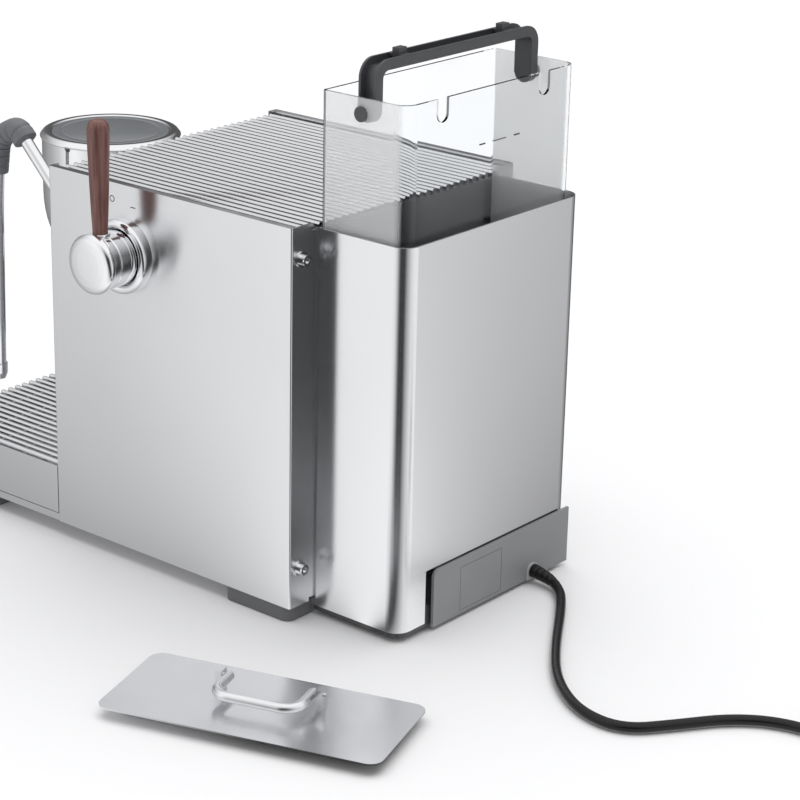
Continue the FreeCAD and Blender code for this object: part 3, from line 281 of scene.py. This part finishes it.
def addPiece(name, shells, body, slotName, replaced=(), material=None, sharp=38):
    points, faces = joinShells(shells)
    mesh = bpy.data.meshes.new(name)
    mesh.from_pydata(toFrame(points).tolist(), [], faces)
    shell = bmesh.new()
    shell.from_mesh(mesh)
    bmesh.ops.recalc_face_normals(shell, faces=shell.faces)
    shell.to_mesh(mesh)
    shell.free()
    mesh.polygons.foreach_set("use_smooth", np.ones(len(mesh.polygons), bool))
    mesh.set_sharp_from_angle(angle=math.radians(sharp))
    mesh.materials.append(material or finish[slotName])
    piece = bpy.data.objects.new(name, mesh)
    scene.collection.objects.link(piece)
    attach(piece, body)
    if replaced:
        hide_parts(*replaced)
    return piece


def rounded(corners, radius, closed=False, steps=5):
    # each corner of the line becomes a parabola that starts and ends a radius away along its two runs
    corners = np.asarray(corners, float)
    before = np.roll(corners, 1, 0)
    after = np.roll(corners, -1, 0)
    backRun = before - corners
    onRun = after - corners
    backLength = np.linalg.norm(backRun, axis=1, keepdims=True)
    onLength = np.linalg.norm(onRun, axis=1, keepdims=True)
    reach = np.minimum(radius, 0.48 * np.minimum(backLength, onLength))
    first = corners + backRun / backLength * reach
    last = corners + onRun / onLength * reach
    t = np.linspace(0, 1, steps)[None, :, None]
    line = (1 - t) ** 2 * first[:, None] + 2 * t * (1 - t) * corners[:, None] + t ** 2 * last[:, None]
    if closed:
        return line.reshape(-1, corners.shape[1])
    return np.concatenate([corners[:1], line[1:-1].reshape(-1, corners.shape[1]), corners[-1:]])


# each basis is two directions round an axis and the axis itself
axes = {"x": np.array([[0, 1, 0], [0, 0, 1], [1, 0, 0]], float), "z": np.eye(3)}


def basisAlong(direction):
    # two level directions and the given one, as rows
    direction = np.asarray(direction, float) / np.linalg.norm(direction)
    other = np.cross(direction, (0, 0, 1.0))
    if np.linalg.norm(other) < 1e-6:
        other = np.array([1.0, 0, 0])
    other = other / np.linalg.norm(other)
    return np.array([other, np.cross(direction, other), direction])


def lathe(profile, place, basis, segments=72, closed=False):
    # each (radius, height) of the profile swings once round the axis
    profile = np.maximum(np.asarray(profile, float), [1e-3, -1e9])
    angle = np.linspace(0, 2 * np.pi, segments, endpoint=False)
    ring = np.cos(angle)[:, None] * basis[0] + np.sin(angle)[:, None] * basis[1]
    points = profile[:, 0, None, None] * ring + profile[:, 1, None, None] * basis[2]
    return points + np.asarray(place, float), gridFaces(len(profile), segments, closedRows=closed)


def tube(path, radius, plane, segments=20):
    # a circle carried along a flat path, square to it
    path, plane = np.asarray(path, float), np.asarray(plane, float)
    way = np.gradient(path, axis=0)
    way /= np.linalg.norm(way, axis=1, keepdims=True)
    side = np.cross(way, plane)
    angle = np.linspace(0, 2 * np.pi, segments, endpoint=False)
    radius = np.broadcast_to(radius, (len(path),))[:, None, None]
    ring = np.cos(angle)[None, :, None] * side[:, None] + np.sin(angle)[None, :, None] * plane
    return path[:, None] + radius * ring, gridFaces(len(path), segments)


def alongLine(line, steps):
    # points at the given distances along a line
    away = np.concatenate([[0], np.cumsum(np.linalg.norm(np.diff(line, axis=0), axis=1))])
    return np.stack([np.interp(steps, away, line[:, k]) for k in range(3)], -1)


def lineLength(line):
    return float(np.linalg.norm(np.diff(line, axis=0), axis=1).sum())


lead = {
    "diameter": 8, "middle": (-30, 430), "outer": 47.6, "inner": 39.8, "upper": 43.8, "lifted": 10.9,
    "step": 15, "plug": (-74, 474, 14),
    "route": [
        (-57, 89.9, 10), (-58, 104, 7.4), (-54, 116, 5.2), (-38, 133, 4), (48, 188, 4), (84, 220, 4),
        (106, 255, 4), (107, 291, 4), (76, 315, 4), (43, 338, 4), (23, 368, 4), (18, 408, 4),
    ],
}


def coilPoints(values):
    # angle, radius and height of the coil: an outer and an inner turn on the table and one on top
    angle = np.arange(15, 1171, values["step"], dtype=float)
    radius = np.interp(angle, [0, 330, 390, 740, 800, 1085, 1130, 1170],
                       [values["outer"]] * 2 + [values["inner"]] * 2 + [values["upper"]] * 2 + [49.0, 49.0])
    height = np.interp(angle, [0, 740, 800, 1085, 1130, 1170], [4, 4] + [values["lifted"]] * 2 + [11.3, 12.5])
    turn = np.radians(angle)
    return np.stack([values["middle"][0] + radius * np.cos(turn), values["middle"][1] + radius * np.sin(turn),
                     height], -1)


def makeLead(values):
    tail = [(-46, 477, 13.6), (-62, 474, 14)]
    points = toFrame(np.concatenate([values["route"], coilPoints(values), tail]))
    curve = bpy.data.curves.new("mains_lead", "CURVE")
    curve.dimensions = "3D"
    spline = curve.splines.new("NURBS")
    spline.points.add(len(points) - 1)
    spline.points.foreach_set("co", np.concatenate([points, np.ones((len(points), 1))], 1).ravel())
    spline.order_u = 3
    spline.use_endpoint_u = True
    curve.resolution_u = 6
    curve.bevel_resolution = 6
    curve.use_fill_caps = True
    piece = bpy.data.objects.new("mains_lead", curve)
    scene.collection.objects.link(piece)
    sampled = bpy.data.meshes.new_from_object(piece)
    line = np.empty(len(sampled.vertices) * 3)
    sampled.vertices.foreach_get("co", line)
    bpy.data.meshes.remove(sampled)
    curve.bevel_depth = values["diameter"] / 2000
    curve.materials.append(finish["lead_black"])
    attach(piece, "machine")
    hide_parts("cord_tube", "cord_coil")
    line = (line.reshape(-1, 3) - datum) * 1000
    return piece, line


leadPiece, leadLine = makeLead(lead)

relief = {"length": 24, "wide": 5.6, "narrow": 4.25, "straight": 3, "groove": 0.35, "pitch": 5, "plain": 4}


def makeRelief(values):
    # ring radius tapers with the distance along the lead, with grooves at an even pitch
    steps = np.linspace(0, values["length"], 30)
    path = alongLine(leadLine, steps)
    radius = np.interp(steps, [0, values["straight"], values["length"]],
                       [values["wide"], values["wide"], values["narrow"]])
    dip = np.clip(np.cos(steps * 2 * np.pi / values["pitch"]) * 3 - 2, 0, 1) * (steps > values["plain"])
    sleeve = tube(path, radius - values["groove"] * dip, np.array([1.0, 0, 0]), 24)
    return addPiece("strain_relief", [sleeve], "machine", "lead_black")


reliefPiece = makeRelief(relief)

plugSet = {
    "profile": [(0, 13), (4.6, 13), (5.6, 11.5), (6.0, 0), (9.0, -4), (12.6, -7), (14, -11), (14, -33),
                (13.2, -36), (12.0, -38), (0, -38)],
    "ribs": (1, 4.2, 7.4), "rib": [(6.0, 0), (7.0, 0.6), (7.0, 1.6), (6.0, 2.2)],
    "pin": 2.4, "pinTip": 1.4, "pinRoot": -36, "pinEnd": -57, "apart": 9.5,
}


def makePlug(values):
    place, basis = np.array(lead["plug"]), axes["x"]
    shells = [lathe(rounded(values["profile"], 1.2), place, basis, 56)]
    for height in values["ribs"]:
        shells.append(lathe(rounded(np.add(values["rib"], (0, height)), 0.4), place, basis, 40))
    plug = addPiece("plug_body", shells, "machine", "lead_black", ("mains_plug",))
    radius, tip, root, end = values["pin"], values["pinTip"], values["pinRoot"], values["pinEnd"]
    line = rounded([(0, root), (radius, root), (radius, end + 2), (tip, end), (0, end)], 0.8)
    pins = [lathe(line, place + (0, y, 0), basis, 24) for y in (-values["apart"], values["apart"])]
    return plug, addPiece("plug_pins", pins, "machine", "button_steel")


plugBody, plugPins = makePlug(plugSet)
print("lead made")

rightSide = (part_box("side_panel_right")[1].x - datum[0]) * 1000
knob = {
    "axis": (rightSide, -171, 257),
    "flange": [(22.6, 0), (29.5, 0), (29.5, 6.6), (28.9, 8.6), (27.4, 9.8), (25.2, 10), (23.6, 9.4),
               (22.6, 8.2)],
    "body": [(0, 3), (21.4, 3), (21.8, 3.6), (21.8, 24), (21.3, 24.5), (21.3, 25.4), (21.8, 25.9),
             (21.8, 31.4), (21.0, 32), (0, 32)],
    "cap": [(0, 32), (22.6, 32), (23.4, 32.7), (23.5, 33.8), (23.4, 35.6), (22.6, 37.2), (20.8, 38.5),
            (17.5, 39.3), (12, 39.65), (6, 39.78), (0, 39.8)],
    "stick": [(0, 0), (5.8, 0), (5.8, 14), (6.5, 26), (7.4, 48), (8.1, 70), (8.6, 84), (8.8, 91), (8.2, 95.4),
              (6.4, 98.4), (3.4, 99.8), (0, 100)],
    "stickAt": (25.8, 0, 10.8),
    "ferrule": [(5.9, 9.6), (7.3, 9.6), (7.6, 10.2), (7.6, 11.6), (7.2, 12.2), (5.9, 12.2)],
}


def makeKnob(values):
    place, basis = values["axis"], axes["x"]
    flange = lathe(rounded(values["flange"], 0.5, True, 3), place, basis, 96, True)
    addPiece("steam_flange", [flange], "machine", "chromed", ("knob_flange",))
    for name, key, ease, sharp, node in (("steam_hub", "body", 0.3, 38, "knob_body"),
                                         ("steam_cap", "cap", 0.9, 60, "knob_cap")):
        shell = lathe(rounded(values[key], ease), place, basis, 96)
        addPiece(name, [shell], "steam_knob", "chromed", (node,), sharp=sharp)
    root = np.add(place, values["stickAt"])
    stick = lathe(rounded(values["stick"], 3.0), root, axes["z"], 48)
    addPiece("steam_stick", [stick], "steam_knob", "wood_grip", ("lever_stick",), sharp=60)
    ferrule = lathe(rounded(values["ferrule"], 0.3, True, 3), root, axes["z"], 48, True)
    addPiece("stick_ferrule", [ferrule], "steam_knob", "chromed")


makeKnob(knob)
print("steam knob made")

group = {
    "axis": (0, -322, 0),
    "bezel": [(47, 301), (58, 301), (58.5, 301.6), (58.5, 302.2), (56.2, 305.2), (54.4, 306), (50.4, 306),
              (49.6, 305.7), (49, 305), (49, 303), (47, 303)],
    "glass": [(0, 303.1), (48.8, 303.1), (48.8, 304.9), (48.3, 305.5), (41.4, 305.5), (41.1, 305.2),
              (40.3, 305.2), (40, 305.5), (0, 305.5)],
}


def makeGroup(values):
    place = values["axis"]
    for name, key, slotName, nodes, ease in (("group_rim", "bezel", "chromed", "group_bezel", 0.35),
                                             ("group_disc", "glass", "grey_glass", "group_glass", 0.25)):
        closed = key == "bezel"
        line = rounded(values[key], ease, closed, 3)
        addPiece(name, [lathe(line, place, axes["z"], 128, closed)], "machine", slotName, (nodes,), sharp=50)


makeGroup(group)

grip = {
    "angle": 225, "start": 49.3, "height": 184.2,
    "wood": [(0, 3.2), (8.9, 3.2), (9.3, 8), (10.0, 20), (11.2, 42), (12.9, 66), (13.9, 84), (13.9, 95),
             (13.0, 106), (10.6, 113), (6.5, 116.4), (0, 117)],
    "ring": [(0, 0), (8.4, 0), (9.0, 0.6), (9.0, 2.6), (8.5, 3.2), (0, 3.2)],
}


def makeHolderGrip(values):
    turn = math.radians(values["angle"])
    way = np.array([math.cos(turn), math.sin(turn), 0])
    place = np.array(group["axis"]) + way * values["start"] + (0, 0, values["height"])
    basis = basisAlong(way)
    addPiece("holder_grip", [lathe(rounded(values["wood"], 3.0), place, basis, 56)], "holder", "wood_grip",
             ("holder_handle",), gripWood, sharp=60)
    addPiece("holder_ring", [lathe(rounded(values["ring"], 0.4), place, basis, 56)], "holder", "chromed")


gripWood = oiledWood("oiled grip wood", (0.115, 0.043, 0.034), (0.215, 0.098, 0.080), (0.9, 0.9, 0.9))
makeHolderGrip(grip)
print("brewing group made")

sleeve = {
    "corners": [(105, -309, 317), (105, -318, 326), (105, -340, 316), (105, -343.72, 285)], "bend": 14,
    "radius": 10, "narrow": 8.2, "bore": 5.05, "ribs": 8, "groove": 0.9, "steepness": 3.2,
    "easeLength": 1.5, "easeDepth": 1.6,
}


def makeSleeve(values):
    # the outer radius dips at each groove and tapers to the lower end; then the bore comes back
    line = rounded(values["corners"], values["bend"], steps=26)
    length = lineLength(line)
    steps = np.linspace(0, length, 150)
    path = alongLine(line, steps)
    way = np.gradient(path, axis=0)
    way /= np.linalg.norm(way, axis=1, keepdims=True)
    flat = np.array([1.0, 0, 0])
    side = np.cross(way, flat)
    share = steps / length
    wave = np.clip(np.abs(np.sin(np.pi * values["ribs"] * share)) * values["steepness"], 0, 1)
    outer = values["radius"] + (values["narrow"] - values["radius"]) * share - values["groove"] * (1 - wave)
    ends = np.clip(np.minimum(steps, length - steps) / values["easeLength"], 0, 1)
    outer = outer - values["easeDepth"] * (1 - np.sqrt(1 - (1 - ends) ** 2))
    angle = np.linspace(0, 2 * np.pi, 40, endpoint=False)
    ring = np.cos(angle)[None, :, None] * side[:, None] + np.sin(angle)[None, :, None] * flat
    outside = path[:, None] + outer[:, None, None] * ring
    inside = path[::-1][:, None] + values["bore"] * ring[::-1]
    points = np.concatenate([outside, inside])
    shell = points, gridFaces(len(points), 40, closedRows=True)
    addPiece("wand_sleeve", [shell], "wand", "grey_rubber", ("wand_grip",), sharp=55)


makeSleeve(sleeve)
print("wand sleeve made")

marks = {
    "ink": (0.02, 0.02, 0.022), "level": 367, "dashes": (14, -27), "dashLength": 7, "dashHeight": 1.1,
    "between": (-14, 2), "betweenRise": (0.2, 0.9), "tankRear": (79.5, 79.65),
    "label": {"x": (34.6, -16.5), "z": (42.0, 6.2), "line": 0.35, "rear": (88.5, 88.58)},
    "steam": {"x": rightSide, "raised": 0.12, "standby": (-184.5, 299), "closed": (-162, 296),
              "ring": (2.0, 2.6), "bar": (2.6, 0.35)},
}
ink = moulded("printed ink", marks["ink"], 0.4)
# the dark lines round the label are painted shade, standing in for the shadow in a groove
groove = moulded("label groove shade", (0.10, 0.10, 0.105), 0.5)


def flatBar(x, y, z):
    # box between three pairs of limits
    corners = [[x[i], y[j], z[k]] for k in (0, 1) for i, j in ((0, 0), (1, 0), (1, 1), (0, 1))]
    return np.array(corners, float).reshape(2, 4, 3), gridFaces(2, 4)


def makeMarks(values):
    # level dashes on the tank, a blank label on the cover, and a ring and a bar beside the knob
    level, rear, half = values["level"], values["tankRear"], values["dashLength"] / 2
    dashes = [flatBar((x - half, x + half), rear, (level, level + values["dashHeight"]))
              for x in values["dashes"]]
    dashes.append(flatBar(values["between"], rear, tuple(level + rise for rise in values["betweenRise"])))
    addPiece("level_mark", dashes, "tank", "dark_grey_plastic", material=ink)
    label = values["label"]
    (right, left), (high, low), half, y = label["x"], label["z"], label["line"] / 2, label["rear"]
    sides = [flatBar((left, right), y, (z - half, z + half)) for z in (low, high)]
    sides += [flatBar((x - half, x + half), y, (low + half, high - half)) for x in (left, right)]
    # the outline bars carry the painted groove shade
    addPiece("label_outline", sides, "machine", "cover_grey", material=groove)
    steam = values["steam"]
    x, raised, (inner, outer), (long, thin) = steam["x"], steam["raised"], steam["ring"], steam["bar"]
    profile = [(inner, 0), (outer, 0), (outer, raised), (inner, raised)]
    ring = lathe(profile, (x, *steam["standby"]), axes["x"], 40, True)
    y, z = steam["closed"]
    bar = flatBar((x, x + raised), (y - long, y + long), (z - thin, z + thin))
    addPiece("steam_marks", [ring, bar], "machine", "dark_grey_plastic", material=ink)


makeMarks(marks)
print("marks made")


def addPlane(name, width, height, place, facing, color, roughness=0.6):
    # flat card whose face looks along the facing direction
    basis = basisAlong(facing)
    corners = np.array([[-1, -1], [1, -1], [1, 1], [-1, 1]]) * [width / 2, height / 2]
    points = corners @ basis[:2] + np.asarray(place, float)
    mesh = bpy.data.meshes.new(name)
    mesh.from_pydata(toFrame(points).tolist(), [], [[0, 1, 2, 3]])
    made = Surface(name + "_finish", color, roughness)
    mesh.materials.append(made.material)
    card = bpy.data.objects.new(name, mesh)
    scene.collection.objects.link(card)
    return card


floorSet = {"size": 12000, "color": (0.86, 0.86, 0.87), "under": 0.4}
floor = addPlane("studio_floor", floorSet["size"], floorSet["size"], (0, 0, -floorSet["under"]), (0, 0, 1),
                 floorSet["color"], 0.7)
floor.visible_glossy = False

# what polished metal sees round the machine: compass angle from +X about the middle, and shade
studio = {
    "middle": (105, 50),
    "shades": [(-180, 0.12), (-135, 0.10), (-100, 0.30), (-76, 0.50), (-60, 0.72), (-46, 1.00),
               (-33, 1.08), (-10, 0.85), (8, 0.30), (18, 0.05), (46, 0.05), (62, 0.40), (92, 0.88),
               (118, 1.02), (133, 0.98), (143, 0.68), (156, 0.44), (180, 0.12)],
    "sky": 1.1, "skyFrom": 0.30, "skyTo": 0.80, "strength": 0.60,
}


def compassShade(tree, vector, values, offset):
    # ramp over the angle round the middle
    parts = tree.nodes.new("ShaderNodeSeparateXYZ")
    tree.links.new(vector, parts.inputs["Vector"])
    x, y = (tree.nodes.new("ShaderNodeMath") for k in range(2))
    for node, axis, shift in ((x, "X", offset[0]), (y, "Y", offset[1])):
        node.operation = "SUBTRACT"
        node.inputs[1].default_value = shift
        tree.links.new(parts.outputs[axis], node.inputs[0])
    angle = tree.nodes.new("ShaderNodeMath")
    angle.operation = "ARCTAN2"
    tree.links.new(y.outputs[0], angle.inputs[0])
    tree.links.new(x.outputs[0], angle.inputs[1])
    share = tree.nodes.new("ShaderNodeMapRange")
    share.inputs["From Min"].default_value, share.inputs["From Max"].default_value = -math.pi, math.pi
    tree.links.new(angle.outputs[0], share.inputs["Value"])
    ramp = tree.nodes.new("ShaderNodeValToRGB")
    stops = ramp.color_ramp.elements
    for degrees, shade in values["shades"][1:-1]:
        stops.new((degrees + 180) / 360)
    for stop, (degrees, shade) in zip(stops, values["shades"]):
        stop.position = (degrees + 180) / 360
        stop.color = (shade, shade, shade * 1.005, 1)
    tree.links.new(share.outputs["Result"], ramp.inputs["Fac"])
    return ramp.outputs["Color"], parts


def makeMirroredFloor(values):
    # a second floor, seen only in reflections, that carries the shades
    place = (*values["middle"], -floorSet["under"] - 0.2)
    card = addPlane("mirrored_floor", floorSet["size"], floorSet["size"], place, (0, 0, 1), (0.5, 0.5, 0.5))
    card.visible_camera = card.visible_diffuse = card.visible_shadow = card.visible_transmission = False
    tree = card.data.materials[0].node_tree
    coords = tree.nodes.new("ShaderNodeTexCoord")
    middle = toFrame((*values["middle"], 0))
    color, parts = compassShade(tree, coords.outputs["Object"], values, middle)
    glow = tree.nodes.new("ShaderNodeEmission")
    tree.links.new(color, glow.inputs["Color"])
    tree.links.new(glow.outputs["Emission"], tree.nodes["Material Output"].inputs["Surface"])


makeMirroredFloor(studio)


def makeWorld(values):
    # white for what the eye sees and for soft light; shades that turn white overhead for reflections
    world = bpy.data.worlds.new("studio")
    world.use_nodes = True
    tree = world.node_tree
    plain = tree.nodes["Background"]
    plain.inputs["Color"].default_value = (1, 1, 1, 1)
    plain.inputs["Strength"].default_value = values["strength"]
    coords = tree.nodes.new("ShaderNodeTexCoord")
    color, parts = compassShade(tree, coords.outputs["Generated"], values, (0, 0))
    rise = tree.nodes.new("ShaderNodeMapRange")
    rise.inputs["From Min"].default_value = values["skyFrom"]
    rise.inputs["From Max"].default_value = values["skyTo"]
    tree.links.new(parts.outputs["Z"], rise.inputs["Value"])
    blend = tree.nodes.new("ShaderNodeMix")
    blend.data_type = "RGBA"
    tree.links.new(rise.outputs["Result"], blend.inputs[0])
    tree.links.new(color, blend.inputs[6])
    blend.inputs[7].default_value = (values["sky"],) * 3 + (1,)
    shaded = tree.nodes.new("ShaderNodeBackground")
    tree.links.new(blend.outputs[2], shaded.inputs["Color"])
    path = tree.nodes.new("ShaderNodeLightPath")
    mix = tree.nodes.new("ShaderNodeMixShader")
    tree.links.new(path.outputs["Is Glossy Ray"], mix.inputs["Fac"])
    tree.links.new(plain.outputs["Background"], mix.inputs[1])
    tree.links.new(shaded.outputs["Background"], mix.inputs[2])
    tree.links.new(mix.outputs["Shader"], tree.nodes["World Output"].inputs["Surface"])
    scene.world = world


makeWorld(studio)

lamp = {"towards": (-0.22, -0.10, 1), "spread": 75, "strength": 2.0}


def addLamp(values):
    # one very broad soft light from above
    data = bpy.data.lights.new("soft_light", "SUN")
    data.angle = math.radians(values["spread"])
    data.energy = values["strength"]
    made = bpy.data.objects.new("soft_light", data)
    scene.collection.objects.link(made)
    made.rotation_euler = Vector(values["towards"]).to_track_quat("Z", "Y").to_euler()
    made.visible_glossy = False


addLamp(lamp)
scene.view_settings.view_transform = "Standard"
print("lights made")
